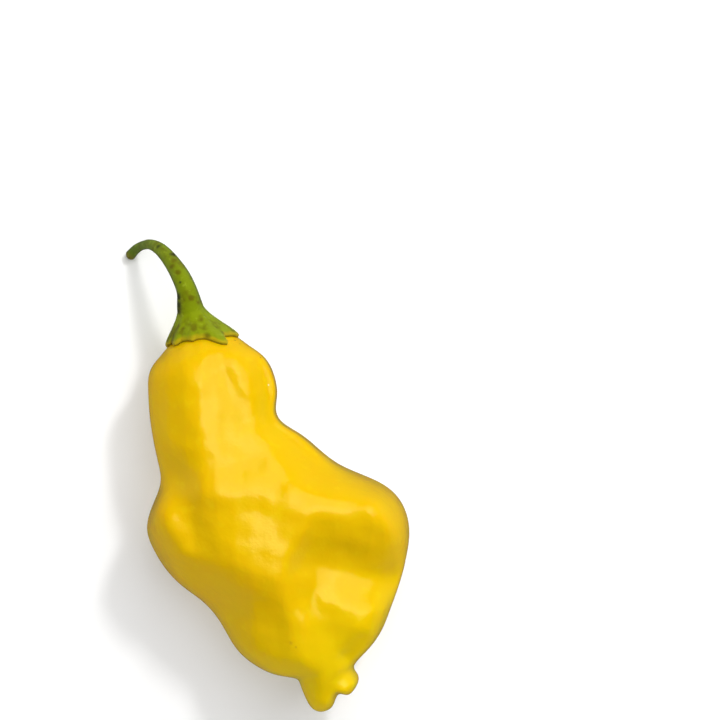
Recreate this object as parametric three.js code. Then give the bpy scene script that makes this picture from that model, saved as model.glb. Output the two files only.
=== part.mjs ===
import * as THREE from 'three';
import { mergeVertices } from 'three/addons/utils/BufferGeometryUtils.js';

// A crown-shaped yellow chilli pepper lying on its side: one pod, and one stem that flares into its calyx.
// Millimetres, +Z up. It rests on z = 0, and its origin is under the centre of its box.

// Driving dimensions
const POD_LENGTH = 79.6; // stem end to blossom tip, along the pod's axis
const POD_HEADING = -70.2; // direction of that axis in the XY plane, degrees from +X
const POD_COLUMNS = 72; // facets round the pod
const POD_ROWS = 80; // facets along it
const UPPER_COLUMNS = 52; // of the facets round it, on the upper side, where the ridges are
const STEM_COLUMNS = 36;
const STEM_ROWS = 44;
const SEAT_ROWS = 6; // of those, under the calyx
const FLARE_ROWS = 10; // of those, up the calyx
const SEAT_GAP = 0.3; // calyx to pod

// Pod outline seen from above: [station along the axis, place across it], from the stem end to the tip
const LEFT_EDGE = [
  [0, -0.4], [1.3, -6.8], [2.3, -8.5], [3.7, -10.8], [7.9, -13.4], [13.5, -15], [22.4, -16.5], [26.7, -17.8],
  [29.8, -20.5], [33.6, -23.2], [38.2, -23.6], [43.6, -22.4], [47.3, -20.6], [50.9, -18.2], [56.6, -15.9],
  [62.4, -14.6], [67.6, -11.2], [69.8, -8.4], [71.4, -5.5], [73, -4.8], [75.4, -4.7], [78.4, -4],
  [79.6, -1.6],
];
const RIGHT_EDGE = [
  [0, -0.4], [3.9, 6.6], [6.8, 8.6], [9, 10.1], [11.5, 10.95], [14.6, 11], [17.6, 10.3], [20.4, 9.05],
  [22.6, 9.2], [26.4, 11.9], [31, 14.6], [35.4, 17.6], [41.8, 24.1], [47.3, 26.4], [52.5, 25.7], [56.4, 23.7],
  [59.2, 21.9], [65.4, 16.9], [70.7, 10.8], [72.8, 6.9], [75, 6.6], [76.8, 5.9], [78.1, 3.9], [79, 1.5],
  [79.6, -1.6],
];

// Pod heights over the surface it lies on: its upper line, its widest line and its lower line
const CREST = [
  [0, 14], [2, 20], [5, 24], [12, 26.4], [22, 27.6], [28, 28.9], [31.5, 29.8], [34.5, 30], [39, 29.9],
  [46, 30], [54, 28.4], [62, 26.6], [68, 25], [72, 23.6], [75.5, 22.2], [78.2, 20.2], [79.6, 15],
];
const WAIST = [[0, 14], [12, 13.6], [25, 12.5], [36, 9], [48, 8.5], [60, 10], [72, 14], [79.6, 15]];
const KEEL = [
  [0, 14], [2, 8], [5, 3.5], [11, -0.3], [18, -0.3], [26, 0.2], [36, -0.6], [48, -0.6], [56, 0.4], [64, 4],
  [70, 7], [74, 9], [77, 10.5], [78.9, 12], [79.6, 15],
];

// How square the upper right side is: 2 is an ellipse, more is fuller at the shoulder
const SHOULDER = [
  [0, 2], [5, 2.3], [10, 3.2], [20, 3.6], [30, 3.4], [36, 2.8], [42, 2.8], [48, 3], [54, 3], [62, 3],
  [68, 2.8], [74, 2.4], [79.6, 2],
];

// The top leans down to the right of a ridge: where that ridge runs, how steep the lean is, and how softly
// it begins
const RIDGE = [[0, -3], [13, -4.4], [20, -5.6], [30, -7], [79.6, -7]];
const LEAN = [
  [0, 0], [5, 0.12], [12, 0.26], [24, 0.29], [29, 0.26], [33, 0.17], [37, 0.05], [42, 0], [60, 0], [79.6, 0],
];
const LEAN_SOFT = 2.2;

// Ridges and hollows: a path of [station, place across], its width to the left and to the right of the
// way it runs as seen from above, and how far it stands out (or, below zero, sinks in)
const UPPER_FORMS = [
  { name: 'neck furrow', path: [[7.6, 2], [11.3, 2.8], [15.2, 3.1], [20, 2.9]], widths: [2, 2], rise: -0.5 },
  { name: 'neck ridge', path: [[9, -4.2], [19.5, -5.8], [29, -8]], widths: [5, 3.5], rise: 0.8 },
  {
    name: 'right rib',
    path: [[8.3, 6.4], [13.5, 5.4], [22, 4.6], [29, 6], [35, 7.7]],
    widths: [2.5, 3],
    rise: 0.6,
  },
  { name: 'crown edge', path: [[31.2, -8], [32.4, -3], [34, 1.5]], widths: [4.5, 2.6], rise: 0.8 },
  {
    name: 'crown rim',
    path: [[37.6, 8], [40, 11.5], [42.2, 16.4], [43.3, 22]],
    widths: [4.6, 3.2],
    rise: 0.8,
  },
  {
    name: 'crown hollow',
    path: [[51.2, 8.6], [53, 11.4], [56.2, 14.5], [57.6, 19]],
    widths: [6.6, 5.6],
    rise: -4.8,
  },
  { name: 'right lobe', path: [[44, 21.5], [50, 22.8], [55, 21.6]], widths: [3.4, 3.4], rise: 2 },
  { name: 'front lobe', path: [[45.5, -8], [50, -6]], widths: [7, 7], rise: 3 },
  {
    name: 'front lobe edge',
    path: [[41.9, 8], [45.3, 4.8], [48.3, 2], [51, -0.6]],
    widths: [1.6, 3],
    rise: 0.8,
  },
  { name: 'left lobe', path: [[30.5, -18.8], [35.5, -18], [39.5, -17.4]], widths: [4, 4.2], rise: 3.2 },
  { name: 'left furrow', path: [[24, -13.6], [31.6, -13.2], [38, -13.8]], widths: [3, 3.6], rise: -1 },
  {
    name: 'lower left hollow',
    path: [[45, -18], [51, -13.5], [56, -9], [60, -5]],
    widths: [5, 5],
    rise: -0.6,
  },
  { name: 'lower left lobe', path: [[61, -9.5], [67, -6.5]], widths: [4.5, 4.5], rise: 1.8 },
  {
    name: 'tip ridge',
    path: [[53, 1], [55.5, -1], [61.4, -2], [67, -1.6], [72, 0.6]],
    widths: [3, 2.6],
    rise: 0.9,
  },
  { name: 'tip furrow', path: [[57, 3.6], [64, 4.4], [69.5, 6]], widths: [4, 2.2], rise: -1 },
  { name: 'lower right lobe', path: [[64.6, 13.4], [68, 11.2]], widths: [5.5, 5], rise: 2.1 },
  { name: 'knob hollow', path: [[68.2, 9.5], [70, 6.5]], widths: [2.4, 2], rise: -1.2 },
  { name: 'low crest', path: [[62, -0.4], [66, -1]], widths: [5, 5], rise: 1.6 },
  { name: 'left knob', path: [[76.4, -2.2], [77.2, -1.2]], widths: [2.4, 2.4], rise: 1 },
  { name: 'right knob', path: [[76, 5.2], [76.8, 4.2]], widths: [2.2, 2.2], rise: 2.2 },
];
const LOWER_FORMS = [
  { name: 'back furrow', path: [[22, -2], [40, 0], [64, 1]], widths: [5, 5], rise: -2.8 },
  { name: 'left foot', path: [[34, -12], [52, -9]], widths: [4.5, 4.5], rise: 1.6 },
  { name: 'right foot', path: [[42, 13], [58, 11]], widths: [4.5, 4.5], rise: 1.6 },
  { name: 'side furrow', path: [[24, 12], [36, 9], [44, 6]], widths: [3, 3], rise: -1.6 },
];
const FORM_STEPS = 18; // straight pieces that a ridge's path is followed in

// The cleft that parts the tip into two knobs
const TIP_CLEFT = { across: 1.8, width: 1.5, depth: 1.6, starts: 75, full: 78.8 };

// Stem path: [station, place across, height, radius], from the top of the calyx to the cut end
const STEM_PATH = [
  [-4.6, 0.05, 15.4, 2.6], [-7.8, 0.6, 16.4, 2.05], [-11.1, 0.35, 15.8, 1.84], [-14.7, -0.6, 13.6, 1.55],
  [-17.6, -1.9, 11, 1.3], [-19.4, -3.6, 7.8, 1.04], [-20, -5.4, 4.6, 0.9], [-19.9, -7.1, 2.4, 0.95],
  [-19.2, -8.7, 1.3, 1.05],
];
const STEM_END = 0.5; // how far the rounded cut end stands past the path

// Calyx: its rim on the pod, how far its flare keeps to the stem's direction at the rim and at the top, and
// its teeth, each by its angle round the stem, its reach down the pod and its half widths before and after
// that angle, in degrees
const CALYX_RIM = { station: 2.68, rightLean: 1.44, upLean: -0.68, thickness: 0.35 };
const CALYX_FLARE = { stands: 1.2, pull: 2 };
const CALYX_TEETH = [
  { angle: 45, reach: 1.9, before: 7, after: 26 },
  { angle: 10, reach: 0.3, before: 12, after: 12 },
  { angle: 122, reach: 0.55, before: 16, after: 20 },
  { angle: 228, reach: 1.2, before: 18, after: 16 },
  { angle: 300, reach: 1.5, before: 18, after: 14 },
];

// Finishes
const SKIN = new THREE.MeshStandardMaterial({ color: 0xf2c80f, roughness: 0.28, metalness: 0 });
const GREEN = new THREE.MeshStandardMaterial({ color: 0x7f9414, roughness: 0.55, metalness: 0 });

const heading = THREE.MathUtils.degToRad(POD_HEADING);
const along = new THREE.Vector3(Math.cos(heading), Math.sin(heading), 0);
const across = new THREE.Vector3(-along.y, along.x, 0);
const up = new THREE.Vector3(0, 0, 1);

const place = (station, side, height) =>
  new THREE.Vector3(0, 0, height).addScaledVector(along, station).addScaledVector(across, side);

// A station as an angle: it closes the pod's ends in round caps.
const stationAngle = (station) => Math.acos(1 - (2 * station) / POD_LENGTH);

// Natural cubic spline through [station, value] points, as a function of the station's angle.
function smoothLine(points) {
  const x = points.map(([station]) => stationAngle(station));
  const y = points.map(([, value]) => value);
  const last = x.length - 1;
  const gap = (i) => x[i + 1] - x[i];
  const slope = (i) => (y[i + 1] - y[i]) / gap(i);
  const diagonal = [1];
  const target = [0];
  for (let i = 1; i < last; i++) {
    const share = i > 1 ? gap(i - 1) / diagonal[i - 1] : 0;
    diagonal[i] = 2 * (gap(i - 1) + gap(i)) - share * (i > 1 ? gap(i - 1) : 0);
    target[i] = 6 * (slope(i) - slope(i - 1)) - share * (i > 1 ? target[i - 1] : 0);
  }
  const bend = new Array(last + 1).fill(0);
  for (let i = last - 1; i > 0; i--) bend[i] = (target[i] - gap(i) * bend[i + 1]) / diagonal[i];
  return (angle) => {
    let i = 0;
    while (i < last - 1 && angle > x[i + 1]) i++;
    const a = (x[i + 1] - angle) / gap(i);
    const b = 1 - a;
    const sag = ((a ** 3 - a) * bend[i] + (b ** 3 - b) * bend[i + 1]) * (gap(i) ** 2 / 6);
    return a * y[i] + b * y[i + 1] + sag;
  };
}

const outline = {
  left: smoothLine(LEFT_EDGE),
  right: smoothLine(RIGHT_EDGE),
  crest: smoothLine(CREST),
  waist: smoothLine(WAIST),
  keel: smoothLine(KEEL),
  shoulder: smoothLine(SHOULDER),
  ridge: smoothLine(RIDGE),
  lean: smoothLine(LEAN),
};

const curved = (forms) =>
  forms.map((form) => ({
    ...form,
    line: new THREE.SplineCurve(form.path.map((p) => new THREE.Vector2(...p))).getPoints(FORM_STEPS),
  }));
const upperForms = curved(UPPER_FORMS);
const lowerForms = curved(LOWER_FORMS);

// Height of all the ridges and hollows at one place: each falls off as a bell on either side of its path.
function relief(forms, station, side) {
  let height = 0;
  for (const { line, widths, rise } of forms) {
    let nearest = Infinity;
    let fall = 0;
    for (let i = 0; i < line.length - 1; i++) {
      const run = line[i + 1].clone().sub(line[i]);
      const offset = new THREE.Vector2(station, side).sub(line[i]);
      offset.addScaledVector(run, -THREE.MathUtils.clamp(offset.dot(run) / run.lengthSq(), 0, 1));
      if (offset.length() >= nearest) continue;
      nearest = offset.length();
      const aside = run.normalize().cross(offset);
      const beyond = offset.dot(run);
      fall = (aside / widths[aside > 0 ? 0 : 1]) ** 2 + (beyond / ((widths[0] + widths[1]) / 2)) ** 2;
    }
    height += rise * Math.exp(-fall);
  }
  return height;
}

// A point of the pod's skin: share runs from the stem end to the tip, and turn goes round from the right
// over the top. A section is half ellipses, squarer at its upper right, with the lean and the forms added to
// its height. grow moves the whole skin out, but keeps its two poles closed.
function podPoint(share, turn, grow = 0) {
  const angle = Math.PI * share;
  let station = (POD_LENGTH * (1 - Math.cos(angle))) / 2;
  const open = THREE.MathUtils.smoothstep(Math.sin(angle), 0, 0.15);
  const swell = grow * open;
  const left = outline.left(angle) - swell;
  const right = outline.right(angle) + swell;
  const waist = outline.waist(angle);
  const facing = Math.sin(turn);
  const reach = swell + (facing > 0 ? outline.crest(angle) - waist : waist - outline.keel(angle));
  const side = (left + right) / 2 + ((right - left) / 2) * Math.cos(turn);
  const square = outline.shoulder(angle);
  const fuller = (1 - Math.max(Math.cos(turn), 0) ** square) ** (1 / square);
  const rise = facing > 0 && Math.cos(turn) > 0 ? fuller : facing;
  const past = side - outline.ridge(angle);
  const lean = (outline.lean(angle) * (past + Math.hypot(past, LEAN_SOFT))) / 2;
  const weight = open * THREE.MathUtils.smoothstep(Math.abs(facing), 0.05, 0.6);
  const upper = relief(upperForms, station, side) - lean;
  const lift = weight * (facing > 0 ? upper : -relief(lowerForms, station, side));
  const height = Math.max(waist + reach * rise + lift, -grow);
  const { across: cleft, width, depth, starts, full } = TIP_CLEFT;
  const notch = depth * Math.exp(-(((side - cleft) / width) ** 2));
  station -= notch * THREE.MathUtils.smoothstep(station, starts, full);
  return place(station + grow * (2 * share - 1), side, height);
}

// A closed skin: every vertex of a sphere, by its share from pole to pole and its column round, is moved
// to pointAt.
function wrapped(columns, rows, pointAt) {
  const geometry = new THREE.SphereGeometry(1, columns, rows);
  const { position, uv } = geometry.attributes;
  for (let i = 0; i < position.count; i++) {
    const point = pointAt(1 - uv.getY(i), columns * uv.getX(i));
    position.setXYZ(i, point.x, point.y, point.z);
  }
  geometry.deleteAttribute('normal');
  geometry.deleteAttribute('uv');
  return mergeVertices(geometry, 1e-3);
}

// How far the calyx's teeth carry its rim down the pod at an angle round it, each a rounded tongue.
function toothReach(turn) {
  const degrees = THREE.MathUtils.radToDeg(turn);
  let reach = 0;
  for (const tooth of CALYX_TEETH) {
    const away = THREE.MathUtils.euclideanModulo(degrees - tooth.angle + 180, 360) - 180;
    const share = Math.abs(away) / (away < 0 ? tooth.before : tooth.after);
    reach = Math.max(reach, tooth.reach * (1 - THREE.MathUtils.smoothstep(share, 0, 1)));
  }
  return reach;
}

// The share of the pod, from its stem end, that the calyx covers at an angle round it.
function coveredShare(turn) {
  const { station, rightLean, upLean } = CALYX_RIM;
  const rim = station + rightLean * Math.cos(turn) + upLean * Math.sin(turn) + toothReach(turn);
  return stationAngle(rim) / Math.PI;
}

const evenCurve = (points) => new THREE.CatmullRomCurve3(points, false, 'catmullrom');
const stemLine = evenCurve(STEM_PATH.map(([station, side, height]) => place(station, side, height)));
const stemRadius = evenCurve(STEM_PATH.map((p) => new THREE.Vector3(p[3], 0, 0)));

// A point on the ring round the stem's path at a share of it.
function stemRing(share, turn, scale = 1) {
  const heart = stemLine.getPoint(share);
  const forward = stemLine.getTangent(share);
  const sideways = forward.clone().cross(up).normalize();
  const upward = sideways.clone().cross(forward);
  const radius = stemRadius.getPoint(share).x * scale;
  heart.addScaledVector(sideways, radius * Math.cos(turn));
  return heart.addScaledVector(upward, radius * Math.sin(turn));
}

// A point of the calyx, on a cubic curve from its rim to the stem's first ring.
function flarePoint(share, turn) {
  const rim = podPoint(coveredShare(turn), turn, SEAT_GAP + CALYX_RIM.thickness);
  const top = stemRing(0, turn);
  const forward = stemLine.getTangent(0);
  const stands = rim.clone().addScaledVector(forward, CALYX_FLARE.stands);
  const drawn = top.clone().addScaledVector(forward, -CALYX_FLARE.pull);
  return new THREE.CubicBezierCurve3(rim, stands, drawn, top).getPoint(share);
}

// The stem from its seat on the pod's end, out to the rim, up the flare of the calyx and on to the cut end.
function stemPoint(share, turn) {
  const row = Math.round(share * STEM_ROWS);
  if (row <= SEAT_ROWS) return podPoint((coveredShare(turn) * row) / SEAT_ROWS, turn, SEAT_GAP);
  const flareRow = row - SEAT_ROWS - 1;
  if (flareRow <= FLARE_ROWS) return flarePoint(flareRow / FLARE_ROWS, turn);
  const forward = stemLine.getTangent(1);
  if (row === STEM_ROWS) return stemLine.getPoint(1).addScaledVector(forward, STEM_END);
  if (row === STEM_ROWS - 1) return stemRing(1, turn, 0.75).addScaledVector(forward, STEM_END * 0.8);
  return stemRing((flareRow - FLARE_ROWS) / (STEM_ROWS - SEAT_ROWS - FLARE_ROWS - 3), turn);
}

// The turn of one of the pod's columns, counted backwards from the right so that the faces point out.
function columnTurn(column) {
  const below = POD_COLUMNS - UPPER_COLUMNS;
  const halves = column < below ? column / below : 1 + (column - below) / UPPER_COLUMNS;
  return -Math.PI * halves;
}

const podSkin = wrapped(POD_COLUMNS, POD_ROWS, (share, column) => podPoint(share, columnTurn(column)));
const pod = new THREE.Mesh(podSkin, SKIN);
pod.name = 'pod';

const stemTurn = (column) => (2 * Math.PI * column) / STEM_COLUMNS;
const stemSkin = wrapped(STEM_COLUMNS, STEM_ROWS, (share, column) => stemPoint(share, stemTurn(column)));
const stem = new THREE.Mesh(stemSkin, GREEN);
stem.name = 'stem_and_calyx';

const pepper = new THREE.Group();
pepper.add(pod, stem);
const box = new THREE.Box3().setFromObject(pepper);
const middle = box.getCenter(new THREE.Vector3());
pepper.position.set(-middle.x, -middle.y, -box.min.z);

export default pepper;
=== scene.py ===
import math

import bpy
import numpy as np
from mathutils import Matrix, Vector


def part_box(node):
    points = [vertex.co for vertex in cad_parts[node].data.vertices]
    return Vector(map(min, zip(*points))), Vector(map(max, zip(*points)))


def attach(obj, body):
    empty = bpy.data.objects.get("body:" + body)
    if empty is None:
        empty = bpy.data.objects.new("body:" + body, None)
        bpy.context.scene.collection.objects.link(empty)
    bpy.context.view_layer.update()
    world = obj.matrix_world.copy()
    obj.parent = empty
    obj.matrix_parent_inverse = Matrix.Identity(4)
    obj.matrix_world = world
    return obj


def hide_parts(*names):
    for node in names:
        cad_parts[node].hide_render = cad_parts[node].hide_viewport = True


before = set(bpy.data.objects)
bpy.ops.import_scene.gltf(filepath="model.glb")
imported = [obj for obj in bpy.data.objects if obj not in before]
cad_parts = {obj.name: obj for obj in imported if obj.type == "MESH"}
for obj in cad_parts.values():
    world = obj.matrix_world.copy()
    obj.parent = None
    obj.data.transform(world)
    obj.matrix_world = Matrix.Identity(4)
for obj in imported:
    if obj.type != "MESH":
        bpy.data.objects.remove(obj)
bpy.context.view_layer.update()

mm = 0.001
print("frame loaded:", ", ".join(sorted(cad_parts)))


# Curves and meshes

def smoothstep(value, low, high):
    # 0 at low and 1 at high, level at both: three times the share's square less twice its cube.
    t = np.clip((value - low) / (high - low), 0.0, 1.0)
    return t * t * (3.0 - 2.0 * t)


def cubicThrough(knots, values):
    # Natural cubic spline: the bends at the knots solve one small linear system,
    # and each span is a straight line plus a sag of its two bends.
    x = np.asarray(knots, float)
    y = np.asarray(values, float)
    gap = np.diff(x)
    slope = np.diff(y) / gap
    system = np.eye(len(x))
    target = np.zeros(len(x))
    inner = np.arange(1, len(x) - 1)
    system[inner, inner - 1] = gap[:-1]
    system[inner, inner] = 2.0 * (gap[:-1] + gap[1:])
    system[inner, inner + 1] = gap[1:]
    target[inner] = 6.0 * np.diff(slope)
    bend = np.linalg.solve(system, target)

    def line(at):
        i = np.clip(np.searchsorted(x, at) - 1, 0, len(gap) - 1)
        a = (x[i + 1] - at) / gap[i]
        b = 1.0 - a
        sag = ((a ** 3 - a) * bend[i] + (b ** 3 - b) * bend[i + 1]) * gap[i] ** 2 / 6.0
        return a * y[i] + b * y[i + 1] + sag

    return line


def passingThrough(points, at):
    # Catmull-Rom curve through points (any number of columns), read at shares 0 to 1 of its spans.
    p = np.asarray(points, float)
    p = np.vstack([2.0 * p[0] - p[1], p, 2.0 * p[-1] - p[-2]])
    spans = len(p) - 3
    u = np.clip(np.asarray(at, float), 0.0, 1.0) * spans
    i = np.minimum(u.astype(int), spans - 1)
    t = (u - i)[..., None]
    before, here, there, after = p[i], p[i + 1], p[i + 2], p[i + 3]
    return 0.5 * (2.0 * here + (there - before) * t
                  + (2.0 * before - 5.0 * here + 4.0 * there - after) * t ** 2
                  + (3.0 * here - before - 3.0 * there + after) * t ** 3)


def closedSkin(name, points, attributes):
    # points is a grid of rows by columns by 3, in mm. Its first and last rows are poles, and each row
    # closes on itself. Quads join neighbouring rows, and fans of triangles join the poles to the rows
    # beside them.
    rows, columns = points.shape[:2]
    ring = np.arange((rows - 2) * columns).reshape(rows - 2, columns) + 1
    nextRing = np.roll(ring, -1, axis=1)
    lastPole = ring[-1, -1] + 1
    quads = np.stack([ring[:-1], ring[1:], nextRing[1:], nextRing[:-1]], -1).reshape(-1, 4)
    startFan = np.stack([np.zeros(columns, int), ring[0], nextRing[0]], -1)
    endFan = np.stack([np.full(columns, lastPole), nextRing[-1], ring[-1]], -1)

    def onePole(grid):
        return np.concatenate([grid[0, :1], grid[1:-1].reshape(-1, *grid.shape[2:]), grid[-1, :1]])

    mesh = bpy.data.meshes.new(name)
    faces = quads.tolist() + startFan.tolist() + endFan.tolist()
    mesh.from_pydata((onePole(points) * mm).tolist(), [], faces)
    for label, grid in attributes.items():
        values = onePole(np.broadcast_to(grid, points.shape[:2])).astype(np.float32)
        mesh.attributes.new(label, "FLOAT", "POINT").data.foreach_set("value", values)
    mesh.polygons.foreach_set("use_smooth", np.ones(len(mesh.polygons), bool))
    mesh.update()
    piece = bpy.data.objects.new(name, mesh)
    bpy.context.scene.collection.objects.link(piece)
    return piece


# Pod: lengths in mm. Stations run along its axis from the stem end to the tip, places lie across it.

pod = {
    "length": 79.6,
    "heading": -70.2,  # of the axis, degrees from +X
    "rows": 260,
    "upperColumns": 220,
    "lowerColumns": 100,
    "leftEdge": [
        (0, -0.4), (1.3, -6.8), (2.3, -8.5), (3.7, -10.8), (7.9, -13.4), (13.5, -15), (22.4, -16.5),
        (26.7, -17.8), (29.8, -20.5), (33.6, -23.2), (38.2, -23.6), (43.6, -22.4), (47.3, -20.6),
        (50.9, -18.2), (56.6, -15.9), (62.4, -14.6), (67.6, -11.2), (69.8, -8.4), (71.4, -5.5), (73, -4.8),
        (75.4, -4.7), (78.4, -4), (79.6, -1.6)],
    "rightEdge": [
        (0, -0.4), (3.9, 6.6), (6.8, 8.6), (9, 10.1), (11.5, 10.95), (14.6, 11), (17.6, 10.3), (20.4, 9.05),
        (22.6, 9.2), (26.4, 11.9), (31, 14.6), (35.4, 17.6), (41.8, 24.1), (47.3, 26.4), (52.5, 25.7),
        (56.4, 23.7), (59.2, 21.9), (65.4, 16.9), (70.7, 10.8), (72.8, 6.9), (75, 6.6), (76.8, 5.9),
        (78.1, 3.9), (79, 1.5), (79.6, -1.6)],
    "crest": [
        (0, 14), (2, 20), (5, 24), (12, 26.4), (22, 27.6), (28, 28.9), (31.5, 29.8), (34.5, 30), (39, 29.9),
        (46, 30), (54, 28.4), (62, 26.6), (68, 25), (72, 23.6), (75.5, 22.2), (78.2, 20.2), (79.6, 15)],
    "waist": [(0, 14), (12, 13.6), (25, 12.5), (36, 9), (48, 8.5), (60, 10), (72, 14), (79.6, 15)],
    "keel": [
        (0, 14), (2, 8), (5, 3.5), (11, -0.3), (18, -0.3), (26, 0.2), (36, -0.6), (48, -0.6), (56, 0.4),
        (64, 4), (70, 7), (74, 9), (77, 10.5), (78.9, 12), (79.6, 15)],
    # How square the upper right side is: 2 is an ellipse, more is fuller at the shoulder
    "shoulder": [
        (0, 2), (5, 2.3), (10, 3.2), (20, 3.6), (30, 3.4), (36, 2.8), (42, 2.8), (48, 3), (54, 3), (62, 3),
        (68, 2.8), (74, 2.4), (79.6, 2)],
    # The top leans down to the right of this ridge, by this slope, which begins this softly
    "ridge": [(0, -3), (13, -4.4), (20, -5.6), (30, -7), (79.6, -7)],
    "lean": [
        (0, 0), (5, 0.12), (12, 0.26), (24, 0.29), (29, 0.26), (33, 0.17), (37, 0.05), (42, 0), (60, 0),
        (79.6, 0)],
    "leanSoft": 2.2,
    # Ridges and hollows: path of (station, place across), widths to the left and right of its run, rise
    "upperForms": {
        "neck furrow": ([(7.6, 2), (11.3, 2.8), (15.2, 3.1), (20, 2.9)], (2, 2), -0.5),
        "neck ridge": ([(9, -4.2), (19.5, -5.8), (29, -8)], (5, 3.5), 0.8),
        "right rib": ([(8.3, 6.4), (13.5, 5.4), (22, 4.6), (29, 6), (35, 7.7)], (2.5, 3), 0.6),
        "crown edge": ([(31.2, -8), (32.4, -3), (34, 1.5)], (4.5, 2.6), 0.8),
        "crown rim": ([(37.6, 8), (40, 11.5), (42.2, 16.4), (43.3, 22)], (4.6, 3.2), 0.8),
        "crown hollow": ([(51.2, 8.6), (53, 11.4), (56.2, 14.5), (57.6, 19)], (6.6, 5.6), -4.8),
        "right lobe": ([(44, 21.5), (50, 22.8), (55, 21.6)], (3.4, 3.4), 2),
        "front lobe": ([(45.5, -8), (50, -6)], (7, 7), 3),
        "front lobe edge": ([(41.9, 8), (45.3, 4.8), (48.3, 2), (51, -0.6)], (1.6, 3), 0.8),
        "left lobe": ([(30.5, -18.8), (35.5, -18), (39.5, -17.4)], (4, 4.2), 3.2),
        "left furrow": ([(24, -13.6), (31.6, -13.2), (38, -13.8)], (3, 3.6), -1),
        "lower left hollow": ([(45, -18), (51, -13.5), (56, -9), (60, -5)], (5, 5), -0.6),
        "lower left lobe": ([(61, -9.5), (67, -6.5)], (4.5, 4.5), 1.8),
        "tip ridge": ([(53, 1), (55.5, -1), (61.4, -2), (67, -1.6), (72, 0.6)], (3, 2.6), 0.9),
        "tip furrow": ([(57, 3.6), (64, 4.4), (69.5, 6)], (4, 2.2), -1),
        "lower right lobe": ([(64.6, 13.4), (68, 11.2)], (5.5, 5), 2.1),
        "knob hollow": ([(68.2, 9.5), (70, 6.5)], (2.4, 2), -1.2),
        "low crest": ([(62, -0.4), (66, -1)], (5, 5), 1.6),
        "left knob": ([(76.4, -2.2), (77.2, -1.2)], (2.4, 2.4), 1),
        "right knob": ([(76, 5.2), (76.8, 4.2)], (2.2, 2.2), 2.2),
        "thin crease": ([(52.5, 4.6), (55.5, 5.2), (58, 5.6)], (0.9, 0.9), 0.15),
    },
    "lowerForms": {
        "back furrow": ([(22, -2), (40, 0), (64, 1)], (5, 5), -2.8),
        "left foot": ([(34, -12), (52, -9)], (4.5, 4.5), 1.6),
        "right foot": ([(42, 13), (58, 11)], (4.5, 4.5), 1.6),
        "side furrow": ([(24, 12), (36, 9), (44, 6)], (3, 3), -1.6),
    },
    # Faint unevenness of the skin: turns per mm along and across, phase, height
    "waves": [
        (0.13, 0.06, 0.4, 0.05), (-0.07, 0.15, 2.1, 0.05), (0.21, -0.12, 4.4, 0.035), (0.1, 0.29, 5.6, 0.03)],
    "formSteps": 24,  # straight pieces that a form's path is followed in
    # The cleft that parts the tip in two
    "cleft": {"across": 1.8, "width": 1.5, "depth": 1.6, "starts": 75, "full": 78.8},
    "poleBlend": 0.15,  # sine of the station's angle at which the forms are full
    "sideBlend": (0.05, 0.6),  # sines of the turn between which the forms begin and are full
}

axisAngle = math.radians(pod["heading"])
along = np.array([math.cos(axisAngle), math.sin(axisAngle), 0.0])
across = np.array([-along[1], along[0], 0.0])
up = np.array([0.0, 0.0, 1.0])


def place(station, side, height):
    # The point at a station, a place across the axis and a height.
    return (np.asarray(station)[..., None] * along + np.asarray(side)[..., None] * across
            + np.asarray(height)[..., None] * up)


def stationAngle(station):
    # A station as an angle, from 0 at the stem end to half a turn at the tip. It closes the ends in
    # round caps.
    return np.arccos(1.0 - 2.0 * np.asarray(station, float) / pod["length"])


def podLine(name):
    # One of the pod's lines, as a function of the station's angle.
    stations, values = zip(*pod[name])
    return cubicThrough(stationAngle(stations), values)


podLines = {name: podLine(name) for name in (
    "leftEdge", "rightEdge", "crest", "waist", "keel", "shoulder", "ridge", "lean")}


def relief(forms, station, side):
    # Sum over the forms of rise times a bell: its fall is the squared distance beside the path over the
    # width on that side, plus the squared distance past the path's ends over the mean width.
    height = np.zeros_like(station)
    for path, widths, rise in forms.values():
        line = passingThrough(path, np.linspace(0.0, 1.0, pod["formSteps"] + 1))
        nearest = np.full_like(station, np.inf)
        fall = np.zeros_like(station)
        for start, end in zip(line[:-1], line[1:]):
            length = math.dist(start, end)
            run = (end - start) / length
            aheadOf = (station - start[0]) * run[0] + (side - start[1]) * run[1]
            beyond = aheadOf - np.clip(aheadOf, 0.0, length)
            aside = (side - start[1]) * run[0] - (station - start[0]) * run[1]
            distance = np.hypot(beyond, aside)
            bell = (aside / np.where(aside > 0, *widths)) ** 2 + (2.0 * beyond / sum(widths)) ** 2
            fall = np.where(distance < nearest, bell, fall)
            nearest = np.minimum(distance, nearest)
        height += rise * np.exp(-fall)
    return height


def waviness(station, side):
    # Sum of sine waves that run along and across the pod.
    height = np.zeros_like(station)
    for turnsAlong, turnsAcross, phase, rise in pod["waves"]:
        height += rise * np.sin(2.0 * math.pi * (turnsAlong * station + turnsAcross * side) + phase)
    return height


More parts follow.
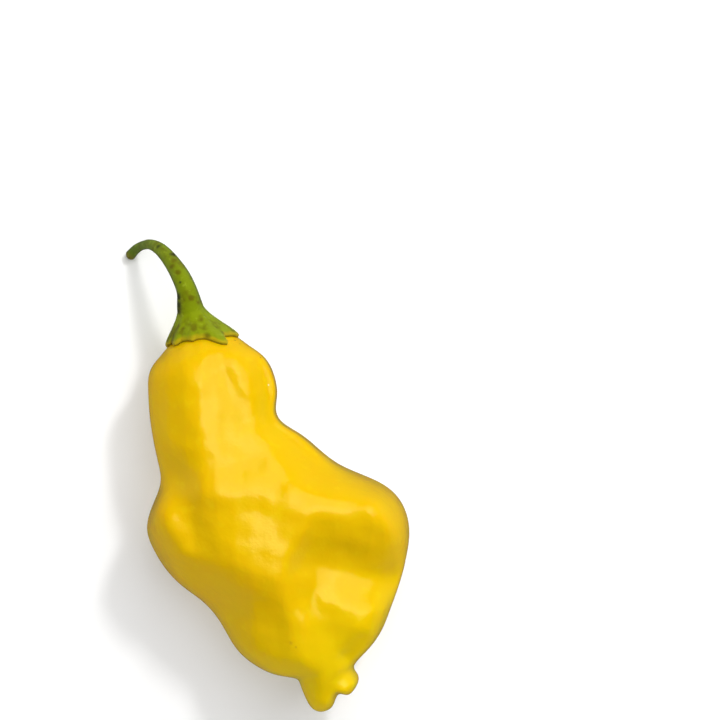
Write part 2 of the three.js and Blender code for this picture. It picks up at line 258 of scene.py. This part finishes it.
def podSurface(share, turn, grow=0.0):
    # share goes from the stem end (0) to the tip (1), turn goes round from the right over the top.
    # Each section is two half ellipses between the pod's edges, from the waist up to the crest and down to
    # the keel. Its upper right quarter is squarer: (1 - cos(turn) to the shoulder's power) to the power of
    # 1 / shoulder. The forms, the waves and the lean past the ridge are added to its height, the cleft draws
    # the tip's middle back, and grow moves it all out.
    angle = math.pi * share
    station = pod["length"] * (1.0 - np.cos(angle)) / 2.0
    opened = smoothstep(np.sin(angle), 0.0, pod["poleBlend"])
    facing = np.sin(turn)
    swell = grow * opened
    left = podLines["leftEdge"](angle) - swell
    right = podLines["rightEdge"](angle) + swell
    waist = podLines["waist"](angle)
    reach = swell + np.where(facing > 0, podLines["crest"](angle) - waist, waist - podLines["keel"](angle))
    side = (left + right) / 2.0 + (right - left) / 2.0 * np.cos(turn)
    square = podLines["shoulder"](angle)
    fuller = (1.0 - np.clip(np.cos(turn), 0.0, 1.0) ** square) ** (1.0 / square)
    rise = np.where((facing > 0) & (np.cos(turn) > 0), fuller, facing)
    past = side - podLines["ridge"](angle)
    lean = podLines["lean"](angle) * (past + np.hypot(past, pod["leanSoft"])) / 2.0
    weight = opened * smoothstep(np.abs(facing), *pod["sideBlend"])
    upper = relief(pod["upperForms"], station, side) + waviness(station, side) - lean
    lower = relief(pod["lowerForms"], station, side)
    height = waist + reach * rise + weight * np.where(facing > 0, upper, -lower)
    height = np.maximum(height, -grow)
    cleft = pod["cleft"]
    drawn = np.exp(-((side - cleft["across"]) / cleft["width"]) ** 2)
    station = station - cleft["depth"] * drawn * smoothstep(station, cleft["starts"], cleft["full"])
    return place(station + grow * (2.0 * share - 1.0), side, height), station


def columnTurns():
    # Counted backwards from the right, so that the faces point out: the lower side, then the upper side.
    lower = -np.arange(pod["lowerColumns"]) / pod["lowerColumns"]
    upper = -1.0 - np.arange(pod["upperColumns"]) / pod["upperColumns"]
    return math.pi * np.concatenate([lower, upper])


def makePod():
    # The skin over its grid, moved so that its box has the same centre as the CAD pod's.
    share, turn = np.meshgrid(np.linspace(0.0, 1.0, pod["rows"] + 1), columnTurns(), indexing="ij")
    points, station = podSurface(share, turn)
    low, high = points.min((0, 1)), points.max((0, 1))
    boxLow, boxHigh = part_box("pod")
    centre = (np.array(boxLow) + np.array(boxHigh)) / 2.0 / mm
    shift = (centre - (low + high) / 2.0) * (1.0, 1.0, 0.0)
    piece = closedSkin("pod_skin", points + shift, {"station": station})
    return piece, shift


podPiece, shift = makePod()
print("pod:", len(podPiece.data.vertices), "vertices")


# Stem and calyx: the same stations and places as the pod

stem = {
    "columns": 144,
    "seatRows": 14,
    "flareRows": 50,
    "rows": 110,
    # Path of (station, place across, height, radius), from the top of the calyx to the cut end
    "path": [
        (-4.6, 0.05, 15.4, 2.6), (-7.8, 0.6, 16.4, 2.05), (-11.1, 0.35, 15.8, 1.84),
        (-14.7, -0.6, 13.6, 1.55), (-17.6, -1.9, 11, 1.3), (-19.4, -3.6, 7.8, 1.04), (-20, -5.4, 4.6, 0.9),
        (-19.9, -7.1, 2.4, 0.95), (-19.2, -8.7, 1.3, 1.05)],
    # The cut end stands reach past the path, and its edge is scale as wide, edge of the way out
    "cutEnd": {"reach": 0.5, "scale": 0.75, "edge": 0.8},
    # The calyx's share of the skin's length, and how far it keeps to the stem's direction at its two ends
    "flare": {"share": 0.3, "stands": 1.2, "pull": 2},
    "rim": {"station": 2.68, "rightLean": 1.44, "upLean": -0.68, "thickness": 0.35},
    "teeth": [  # angle round the stem, reach down the pod, half widths before and after it in degrees
        (45, 1.9, 7, 26), (10, 0.3, 12, 12), (88, 0.25, 8, 10), (122, 0.55, 16, 20), (150, 0.2, 8, 10),
        (172, 0.15, 12, 12), (228, 1.2, 18, 16), (300, 1.5, 18, 14)],
    "gap": 0.08,  # calyx to pod
}


def rimShare(turn):
    # Share of the pod that the calyx covers: a leaning ring plus its teeth, each a rounded tongue.
    rim = stem["rim"]
    degrees = np.degrees(turn)
    reach = np.zeros_like(turn)
    for angle, length, before, after in stem["teeth"]:
        away = (degrees - angle + 180.0) % 360.0 - 180.0
        away = np.abs(away) / np.where(away < 0, before, after)
        reach = np.maximum(reach, length * smoothstep(away, 1.0, 0.0))
    station = rim["station"] + rim["rightLean"] * np.cos(turn) + rim["upLean"] * np.sin(turn) + reach
    return stationAngle(station) / math.pi


def rimEdge(turn):
    # The rim's outer edge: the pod's skin moved out by the gap and the calyx's thickness.
    return podSurface(rimShare(turn), turn, stem["gap"] + stem["rim"]["thickness"])[0]


def stemRing(share, turn, scale=1.0):
    # Circle round the path, square to it; also the path's direction there.
    def heart(at):
        line = passingThrough(stem["path"], at)
        return place(line[..., 0], line[..., 1], line[..., 2]), line[..., 3]

    centre, radius = heart(share)
    step = 1e-3
    forward = heart(np.minimum(share + step, 1.0))[0] - heart(np.maximum(share - step, 0.0))[0]
    forward /= np.linalg.norm(forward, axis=-1, keepdims=True)
    sideways = np.cross(forward, up)
    sideways /= np.linalg.norm(sideways, axis=-1, keepdims=True)
    upward = np.cross(sideways, forward)
    outward = sideways * np.cos(turn)[..., None] + upward * np.sin(turn)[..., None]
    return centre + outward * (radius * scale)[..., None], forward


def stemSurface(skinShare, turn):
    # The flare is a cubic curve from the rim to the stem's first ring, along the stem's direction at both
    # ends. Past it the skin is the rings round the path.
    flare = stem["flare"]
    ring, forward = stemRing(np.clip((skinShare - flare["share"]) / (1.0 - flare["share"]), 0.0, 1.0), turn)
    first, heading = stemRing(np.zeros_like(turn), turn)
    edge = rimEdge(turn)
    raised = edge + heading * flare["stands"]
    drawn = first - heading * flare["pull"]
    t = np.clip(skinShare / flare["share"], 0.0, 1.0)[..., None]
    s = 1.0 - t
    bell = s ** 3 * edge + 3.0 * s ** 2 * t * raised + 3.0 * s * t ** 2 * drawn + t ** 3 * first
    return np.where(t < 1.0, bell, ring), forward


def makeStem():
    # From the seat on the pod's end out to the rim, up the flare and on to the cut end, as one closed skin.
    turns = 2.0 * math.pi * np.arange(stem["columns"]) / stem["columns"]
    seatShare, seatTurn = np.meshgrid(np.linspace(0.0, 1.0, stem["seatRows"] + 1), turns, indexing="ij")
    seat = podSurface(seatShare * rimShare(seatTurn), seatTurn, stem["gap"])[0]
    split = stem["flare"]["share"]
    shares = np.concatenate([np.linspace(0.0, split, stem["flareRows"], endpoint=False),
                             np.linspace(split, 1.0, stem["rows"])])
    skinShare, turn = np.meshgrid(shares, turns, indexing="ij")
    skin, forward = stemSurface(skinShare, turn)
    end = stem["cutEnd"]
    out = forward[-1, 0] * end["reach"]
    cut = stemRing(np.ones((1, len(turns))), turn[-1:], end["scale"])[0] + end["edge"] * out
    tip = np.broadcast_to(cut.mean(1, keepdims=True) + (1.0 - end["edge"]) * out, cut.shape)
    points = np.concatenate([seat, skin, cut, tip]) + shift
    alongStem = np.concatenate([np.zeros(len(seat)), shares, [1.0, 1.0]])[:, None]
    fromRim = np.linalg.norm(skin - skin[:1], axis=-1)
    fromRim = np.concatenate([np.zeros(seat.shape[:2]), fromRim, fromRim[-1:], fromRim[-1:]])
    # sine of the angle round the stem, which sets the painted shade on its sides
    onTop = np.broadcast_to(np.sin(turns), fromRim.shape)
    attributes = {"alongStem": alongStem, "fromRim": fromRim, "onTop": onTop}
    return closedSkin("stem_and_calyx_skin", points, attributes)


stemPiece = makeStem()
print("stem and calyx:", len(stemPiece.data.vertices), "vertices")


# Materials

def node(tree, kind, settings=None, **sockets):
    # A new node with its settings, and its sockets' values by their names with _ for a space.
    made = tree.nodes.new(kind)
    for name, value in (settings or {}).items():
        setattr(made, name, value)
    for name, value in sockets.items():
        made.inputs[name.replace("_", " ")].default_value = value
    return made


def between(tree, value, low, high, shape="SMOOTHSTEP"):
    # 0 where the value is low, 1 where it is high.
    made = node(tree, "ShaderNodeMapRange", {"interpolation_type": shape}, From_Min=low, From_Max=high)
    tree.links.new(value, made.inputs["Value"])
    return made.outputs["Result"]


def newMaterial(name):
    material = bpy.data.materials.new(name)
    material.use_nodes = True
    tree = material.node_tree
    tree.nodes.clear()
    shader = node(tree, "ShaderNodeBsdfPrincipled")
    output = node(tree, "ShaderNodeOutputMaterial")
    tree.links.new(shader.outputs["BSDF"], output.inputs["Surface"])
    return material, tree, shader


def newGroup(name, inputs, output, outputKind="NodeSocketFloat"):
    # A shader group with these inputs and one output, and the sockets that lead in and out of it.
    group = bpy.data.node_groups.new(name, "ShaderNodeTree")
    for label, kind, value in inputs:
        group.interface.new_socket(label, in_out="INPUT", socket_type=kind).default_value = value
    group.interface.new_socket(output, in_out="OUTPUT", socket_type=outputKind)
    return group, group.nodes.new("NodeGroupInput").outputs, group.nodes.new("NodeGroupOutput").inputs


def makeMottle():
    # Cloudy patches: noise of the given scale, cut softly between two levels.
    group, given, result = newGroup("mottle", [
        ("Vector", "NodeSocketVector", (0, 0, 0)), ("Scale", "NodeSocketFloat", 100.0),
        ("Low", "NodeSocketFloat", 0.4), ("High", "NodeSocketFloat", 0.6)], "Mask")
    noise = node(group, "ShaderNodeTexNoise", Detail=3.0, Roughness=0.55)
    cut = node(group, "ShaderNodeMapRange", {"interpolation_type": "SMOOTHSTEP"})
    group.links.new(given["Vector"], noise.inputs["Vector"])
    group.links.new(given["Scale"], noise.inputs["Scale"])
    group.links.new(noise.outputs["Fac"], cut.inputs["Value"])
    group.links.new(given["Low"], cut.inputs["From Min"])
    group.links.new(given["High"], cut.inputs["From Max"])
    group.links.new(cut.outputs["Result"], result["Mask"])
    return group


spotEdge = (1.7, 0.8)  # where a fleck begins and is full, in radii with the noise added
spotNoise = 650.0


def makeSpot():
    # A round fleck with a ragged edge: distance from its centre over its radius, shaken by noise, cut softly.
    group, given, result = newGroup("spot", [
        ("Vector", "NodeSocketVector", (0, 0, 0)), ("Centre", "NodeSocketVector", (0, 0, 0)),
        ("Radius", "NodeSocketFloat", 0.001), ("Ragged", "NodeSocketFloat", 1.4)], "Mask")
    away = node(group, "ShaderNodeVectorMath", {"operation": "DISTANCE"})
    share = node(group, "ShaderNodeMath", {"operation": "DIVIDE"})
    noise = node(group, "ShaderNodeTexNoise", Scale=spotNoise, Detail=3.0)
    shake = node(group, "ShaderNodeMath", {"operation": "MULTIPLY_ADD"})
    group.links.new(given["Vector"], away.inputs[0])
    group.links.new(given["Centre"], away.inputs[1])
    group.links.new(away.outputs["Value"], share.inputs[0])
    group.links.new(given["Radius"], share.inputs[1])
    group.links.new(given["Vector"], noise.inputs["Vector"])
    group.links.new(noise.outputs["Fac"], shake.inputs[0])
    group.links.new(given["Ragged"], shake.inputs[1])
    group.links.new(share.outputs["Value"], shake.inputs[2])
    group.links.new(between(group, shake.outputs["Value"], *spotEdge), result["Mask"])
    return group


def makeGrain():
    # Small bumps: noise of the given scale as a height.
    group, given, result = newGroup("grain", [
        ("Vector", "NodeSocketVector", (0, 0, 0)), ("Scale", "NodeSocketFloat", 100.0),
        ("Strength", "NodeSocketFloat", 1.0), ("Height", "NodeSocketFloat", 0.0001)],
        "Normal", "NodeSocketVector")
    noise = node(group, "ShaderNodeTexNoise", Detail=3.0, Roughness=0.6)
    bump = node(group, "ShaderNodeBump")
    group.links.new(given["Vector"], noise.inputs["Vector"])
    group.links.new(given["Scale"], noise.inputs["Scale"])
    group.links.new(given["Strength"], bump.inputs["Strength"])
    group.links.new(given["Height"], bump.inputs["Distance"])
    group.links.new(noise.outputs["Fac"], bump.inputs["Height"])
    group.links.new(bump.outputs["Normal"], result["Normal"])
    return group


mottle = makeMottle()
spot = makeSpot()
grain = makeGrain()


def mottleMask(tree, vector, scale, low, high):
    made = node(tree, "ShaderNodeGroup", {"node_tree": mottle}, Scale=scale, Low=low, High=high)
    tree.links.new(vector, made.inputs["Vector"])
    return made.outputs["Mask"]


def grainNormal(tree, vector, scale, strength, height):
    made = node(tree, "ShaderNodeGroup", {"node_tree": grain},
                Scale=scale, Strength=strength, Height=height * mm)
    tree.links.new(vector, made.inputs["Vector"])
    return made.outputs["Normal"]


def spotMask(tree, vector, places):
    # The strongest of several flecks, each given as its place in mm and its radius in mm.
    strongest = None
    for centre, radius in places:
        made = node(tree, "ShaderNodeGroup", {"node_tree": spot},
                    Centre=tuple(centre * mm), Radius=radius * mm)
        tree.links.new(vector, made.inputs["Vector"])
        mask = made.outputs["Mask"]
        if strongest is not None:
            larger = node(tree, "ShaderNodeMath", {"operation": "MAXIMUM"})
            tree.links.new(strongest, larger.inputs[0])
            tree.links.new(mask, larger.inputs[1])
            mask = larger.outputs["Value"]
        strongest = mask
    return strongest


def tinted(tree, colour, mask, tint, amount):
    # The colour so far, mixed towards a tint where the mask is strong.
    share = node(tree, "ShaderNodeMath", {"operation": "MULTIPLY"})
    share.inputs[1].default_value = amount
    mix = node(tree, "ShaderNodeMix", {"data_type": "RGBA"})
    tree.links.new(mask, share.inputs[0])
    tree.links.new(share.outputs["Value"], mix.inputs["Factor"])
    tree.links.new(colour, mix.inputs["A"])
    mix.inputs["B"].default_value = tint
    return mix.outputs["Result"]


def ranged(tree, mask, low, high):
    # A mask of 0 to 1 as a value from low to high.
    made = node(tree, "ShaderNodeMapRange", To_Min=low, To_Max=high)
    tree.links.new(mask, made.inputs["Value"])
    return made.outputs["Result"]


podSkin = {
    "yellow": (0.72, 0.452, 0.001, 1.0),
    "deep": (0.7, 0.412, 0.001, 1.0),
    "pale": (0.75, 0.515, 0.004, 1.0),
    "lemon": (0.72, 0.52, 0.001, 1.0),
    "lemonFrom": (50.0, 74.0),  # stations between which the skin turns lemon
    "scar": (0.4, 0.2, 0.008, 1.0),
    "brown": (0.13, 0.055, 0.008, 1.0),
    # colour of the painted glint, a highlight painted on the skin
    "white": (0.9, 0.85, 0.55, 1.0),
    "onFloor": (0.35, 0.35, 0.35, 1.0),  # what the pod throws back on the floor
    # How far each tint covers the skin
    "amounts": {"clouds": 0.6, "flecks": 0.5, "lemon": 0.8, "scars": 0.4, "brownSpots": 0.85,
                "whiteSpots": 0.85, "onFloor": 0.75},
    # Patches: scale of their noise, and the levels at which they begin and are full
    "clouds": (55.0, 0.35, 0.7),
    "flecks": (380.0, 0.56, 0.74),
    "glossPatches": (140.0, 0.35, 0.65),
    "roughness": (0.13, 0.2),
    "gloss": 0.25,
    "sheenTint": (0.86, 0.84, 0.46, 1.0),
    "grain": (450.0, 1.0, 0.15),  # scale, strength, height in mm
    "flesh": 0.35,  # share of the light that goes through the flesh
    "fleshRadius": (1.0, 0.45, 0.1),
    "fleshDepth": 3.0,  # mm
    "brownSpots": [(4.7, 6.3, 0.35), (5.7, 7, 0.3), (9.6, 9.9, 0.2)],  # station, place across, radius
    "scars": [(63.4, -2.9, 0.6), (64.5, -2.2, 0.35)],
    # painted highlight: a tiny white glint painted on the skin as a fleck
    "whiteSpots": [(15.2, 9.6, 0.22)],
}


def onPod(station, side):
    # A place on the pod's upper skin, in mm.
    angle = stationAngle(station)
    left, right = podLines["leftEdge"](angle), podLines["rightEdge"](angle)
    turn = np.arccos((2.0 * side - left - right) / (right - left))
    return podSurface(np.atleast_1d(angle / math.pi), np.atleast_1d(turn))[0][0] + shift


def podMaterial():
    material, tree, shader = newMaterial("pod_skin")
    vector = node(tree, "ShaderNodeTexCoord").outputs["Object"]
    base = node(tree, "ShaderNodeRGB")
    base.outputs["Color"].default_value = podSkin["yellow"]
    colour = base.outputs["Color"]
    amounts = podSkin["amounts"]
    for name, tint in (("clouds", "deep"), ("flecks", "pale")):
        mask = mottleMask(tree, vector, *podSkin[name])
        colour = tinted(tree, colour, mask, podSkin[tint], amounts[name])
    station = node(tree, "ShaderNodeAttribute", {"attribute_name": "station"})
    towardsTip = between(tree, station.outputs["Fac"], *podSkin["lemonFrom"])
    colour = tinted(tree, colour, towardsTip, podSkin["lemon"], amounts["lemon"])
    # the scars and brown spots are marks on the skin; the white fleck is a painted highlight
    for name, tint in (("scars", "scar"), ("brownSpots", "brown"), ("whiteSpots", "white")):
        places = [(onPod(*spotPlace), radius) for *spotPlace, radius in podSkin[name]]
        colour = tinted(tree, colour, spotMask(tree, vector, places), podSkin[tint], amounts[name])
    # what it throws back on the floor is grey, so that its shadow stays neutral
    path = node(tree, "ShaderNodeLightPath")
    colour = tinted(tree, colour, path.outputs["Is Diffuse Ray"], podSkin["onFloor"], amounts["onFloor"])
    tree.links.new(colour, shader.inputs["Base Color"])
    patches = mottleMask(tree, vector, *podSkin["glossPatches"])
    tree.links.new(ranged(tree, patches, *podSkin["roughness"]), shader.inputs["Roughness"])
    tree.links.new(grainNormal(tree, vector, *podSkin["grain"]), shader.inputs["Normal"])
    shader.inputs["Specular IOR Level"].default_value = podSkin["gloss"]
    shader.inputs["Specular Tint"].default_value = podSkin["sheenTint"]
    shader.inputs["Subsurface Weight"].default_value = podSkin["flesh"]
    shader.inputs["Subsurface Radius"].default_value = podSkin["fleshRadius"]
    shader.inputs["Subsurface Scale"].default_value = podSkin["fleshDepth"] * mm
    return material


stemSkin = {
    # Colours by share of the stem's path, from the calyx rim to the cut end
    "greens": [
        (0.0, (0.2, 0.25, 0.002, 1.0)), (0.16, (0.19, 0.24, 0.002, 1.0)),
        (0.36, (0.16, 0.21, 0.003, 1.0)), (0.62, (0.15, 0.2, 0.006, 1.0)),
        (0.8, (0.105, 0.165, 0.018, 1.0)), (0.95, (0.085, 0.13, 0.012, 1.0)),
        (1.0, (0.13, 0.11, 0.02, 1.0))],
    # colour of the painted shade on the stem's sides and underside
    "side": (0.04, 0.06, 0.02, 1.0),
    "olive": (0.1, 0.08, 0.003, 1.0),
    "pale": (0.33, 0.4, 0.03, 1.0),
    "dry": (0.4, 0.28, 0.006, 1.0),
    "black": (0.014, 0.014, 0.008, 1.0),
    "amounts": {"clouds": 0.6, "flecks": 0.35, "dry": 0.8, "side": 0.8, "brownSpots": 0.8,
                "blackSpots": 0.85},
    "clouds": (420.0, 0.45, 0.68),
    "flecks": (900.0, 0.55, 0.75),
    "glossPatches": (600.0, 0.35, 0.65),
    # The dry rim: scale and height in mm of the noise that shakes it, and mm at which it begins and is full
    "dryRim": {"scale": 500.0, "shake": 1.6, "edge": (2.0, 0.9)},
    "shadeFrom": (0.75, 0.05),  # sine of the angle round the stem at which the painted shade on its sides begins and is full
    "shadeUp": (0.22, 0.4),  # shares of the path at which the painted shade begins and is full
    "roughness": (0.4, 0.6),
    "grain": (900.0, 0.5, 0.12),
    "gloss": 0.2,
    "sheenTint": (0.8, 1.0, 0.08, 1.0),
    # share of the path, angle round the stem in degrees, radius
    "blackSpots": [
        (0.64, 80, 0.9), (0.56, 35, 1.1), (0.43, 105, 0.5), (0.33, 150, 1.3), (0.37, 152, 1.1),
        (0.29, 155, 1)],
    "brownSpots": [
        (0.53, 62, 1.1), (0.51, 105, 0.8), (0.475, 88, 0.9), (0.36, 75, 0.8), (0.33, 40, 0.8), (0.17, 130, 1),
        (0.08, 132, 1.3), (0.03, 135, 1.3), (0.1, 152, 1.4), (0.05, 155, 1.3), (0.14, 110, 0.8),
        (0.12, 85, 1), (0.04, 65, 1), (0.06, 40, 1), (0.2, 60, 0.9)],
}


def onStem(share, angle):
    # A place on the stem's skin, in mm.
    return stemSurface(np.atleast_1d(share), np.atleast_1d(math.radians(angle)))[0][0] + shift


def stemMaterial():
    material, tree, shader = newMaterial("green_stem")
    vector = node(tree, "ShaderNodeTexCoord").outputs["Object"]
    share = node(tree, "ShaderNodeAttribute", {"attribute_name": "alongStem"})
    ramp = node(tree, "ShaderNodeValToRGB")
    stops = ramp.color_ramp.elements
    while len(stops) < len(stemSkin["greens"]):
        stops.new(0.5)
    for stop, (position, green) in zip(stops, stemSkin["greens"]):
        stop.position, stop.color = position, green
    tree.links.new(share.outputs["Fac"], ramp.inputs["Fac"])
    colour = ramp.outputs["Color"]
    amounts = stemSkin["amounts"]
    for name, tint in (("clouds", "olive"), ("flecks", "pale")):
        mask = mottleMask(tree, vector, *stemSkin[name])
        colour = tinted(tree, colour, mask, stemSkin[tint], amounts[name])
    # dry brown along the ragged rim
    rim = stemSkin["dryRim"]
    fromRim = node(tree, "ShaderNodeAttribute", {"attribute_name": "fromRim"})
    ragged = node(tree, "ShaderNodeTexNoise", Scale=rim["scale"], Detail=2.0)
    reach = node(tree, "ShaderNodeMath", {"operation": "MULTIPLY_ADD"})
    reach.inputs[1].default_value = rim["shake"]
    tree.links.new(vector, ragged.inputs["Vector"])
    tree.links.new(ragged.outputs["Fac"], reach.inputs[0])
    tree.links.new(fromRim.outputs["Fac"], reach.inputs[2])
    dry = between(tree, reach.outputs["Value"], *rim["edge"])
    colour = tinted(tree, colour, dry, stemSkin["dry"], amounts["dry"])
    # painted shade: the stem's sides and underside are darker than its top
    onTop = node(tree, "ShaderNodeAttribute", {"attribute_name": "onTop"})
    paintedShadeMask = node(tree, "ShaderNodeMath", {"operation": "MULTIPLY"})
    tree.links.new(between(tree, onTop.outputs["Fac"], *stemSkin["shadeFrom"]), paintedShadeMask.inputs[0])
    tree.links.new(between(tree, share.outputs["Fac"], *stemSkin["shadeUp"], "LINEAR"), paintedShadeMask.inputs[1])
    colour = tinted(tree, colour, paintedShadeMask.outputs["Value"], stemSkin["side"], amounts["side"])
    for name, tint in (("brownSpots", "olive"), ("blackSpots", "black")):
        places = [(onStem(*spotPlace), radius) for *spotPlace, radius in stemSkin[name]]
        colour = tinted(tree, colour, spotMask(tree, vector, places), stemSkin[tint], amounts[name])
    tree.links.new(colour, shader.inputs["Base Color"])
    patches = mottleMask(tree, vector, *stemSkin["glossPatches"])
    tree.links.new(ranged(tree, patches, *stemSkin["roughness"]), shader.inputs["Roughness"])
    shader.inputs["Specular IOR Level"].default_value = stemSkin["gloss"]
    shader.inputs["Specular Tint"].default_value = stemSkin["sheenTint"]
    tree.links.new(grainNormal(tree, vector, *stemSkin["grain"]), shader.inputs["Normal"])
    return material


for piece, material, slot, cadNode in (
        (podPiece, podMaterial(), "pod_skin", "pod"),
        (stemPiece, stemMaterial(), "green_stem", "stem_and_calyx")):
    piece.data.materials.append(material)
    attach(piece, "root")
    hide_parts(cadNode)
print("materials on")


# Floor, light and camera

studio = {
    "floorHalf": 1.5,  # m
    "floorWhite": 0.95,
    "floorRoughness": 0.9,
    "floorBounce": 2.0,  # what the pepper's sides get back from the floor
    "floorInGloss": 0.1,  # how bright the floor is where the skin mirrors it
    "skyStrength": 0.34,
    # Lamps: azimuth from +X and elevation in degrees, distance and size in m, power in W, and what sees them
    "lamps": {
        "key": (54.0, 50.0, 0.6, 0.07, 1.35, "diffuse"),
        "soft": (54.0, 61.0, 0.5, 0.55, 2.05, "diffuse"),
        "fill": (225.0, 38.0, 0.6, 0.4, 0.5, "diffuse"),
        "glossPanel": (52.0, 48.0, 0.5, 0.55, 2.6, "glossy"),
        "glossCore": (50.0, 62.0, 0.5, 0.24, 0.5, "glossy"),
    },
    "cameraOver": (18.9, 22.6),  # mm, the point that the camera looks straight down on
    "cameraPlane": 10.0,  # mm over the floor, where the picture is as wide as frameWidth
    "frameWidth": 144.0,  # mm
    "lens": 120.0,
    "sensor": 36.0,
}


def makeFloor():
    half = studio["floorHalf"]
    mesh = bpy.data.meshes.new("floor")
    corners = [(-half, -half, 0), (half, -half, 0), (half, half, 0), (-half, half, 0)]
    mesh.from_pydata(corners, [], [(0, 1, 2, 3)])
    floor = bpy.data.objects.new("floor", mesh)
    bpy.context.scene.collection.objects.link(floor)
    material, tree, shader = newMaterial("floor_white")
    shader.inputs["Base Color"].default_value = (*[studio["floorWhite"]] * 3, 1.0)
    shader.inputs["Roughness"].default_value = studio["floorRoughness"]
    shader.inputs["Specular IOR Level"].default_value = 0.0
    # mirrored in the skin the floor is a dim even grey, and its light on the sides is even too
    path = node(tree, "ShaderNodeLightPath")
    surface = shader.outputs["BSDF"]
    for ray, strength in (("Is Glossy Ray", "floorInGloss"), ("Is Diffuse Ray", "floorBounce")):
        glow = node(tree, "ShaderNodeEmission", Strength=studio[strength])
        mix = node(tree, "ShaderNodeMixShader")
        tree.links.new(path.outputs[ray], mix.inputs["Fac"])
        tree.links.new(surface, mix.inputs[1])
        tree.links.new(glow.outputs["Emission"], mix.inputs[2])
        surface = mix.outputs["Shader"]
    tree.links.new(surface, tree.nodes["Material Output"].inputs["Surface"])
    mesh.materials.append(material)


def makeLamp(name, azimuth, elevation, distance, size, power, seenIn):
    # A square lamp that faces the origin.
    turn, rise = math.radians(azimuth), math.radians(elevation)
    light = bpy.data.lights.new(name, "AREA")
    light.size = size
    light.energy = power
    lamp = bpy.data.objects.new(name, light)
    lamp.location = (distance * math.cos(rise) * math.cos(turn), distance * math.cos(rise) * math.sin(turn),
                     distance * math.sin(rise))
    lamp.rotation_euler = (0.0, math.pi / 2.0 - rise, turn)
    lamp.visible_diffuse = seenIn == "diffuse"
    lamp.visible_glossy = seenIn == "glossy"
    bpy.context.scene.collection.objects.link(lamp)


def makeLight():
    # An even white sky that the gloss doesn't mirror, and the lamps.
    world = bpy.data.worlds.new("studio")
    world.use_nodes = True
    background = world.node_tree.nodes["Background"]
    background.inputs["Color"].default_value = (1.0, 1.0, 1.0, 1.0)
    background.inputs["Strength"].default_value = studio["skyStrength"]
    world.cycles_visibility.glossy = False
    bpy.context.scene.world = world
    for name, lamp in studio["lamps"].items():
        makeLamp(name, *lamp)


def makeCamera():
    # Straight above, as high as makes the picture frameWidth wide at cameraPlane.
    camera = bpy.data.cameras.new("camera")
    camera.lens = studio["lens"]
    camera.sensor_width = studio["sensor"]
    overFloor = studio["cameraPlane"] + studio["frameWidth"] * studio["lens"] / studio["sensor"]
    seen = bpy.data.objects.new("camera", camera)
    seen.location = (studio["cameraOver"][0] * mm, studio["cameraOver"][1] * mm, overFloor * mm)
    bpy.context.scene.collection.objects.link(seen)
    bpy.context.scene.camera = seen


makeFloor()
makeLight()
makeCamera()
bpy.context.scene.view_settings.view_transform = "Standard"
print("studio set")
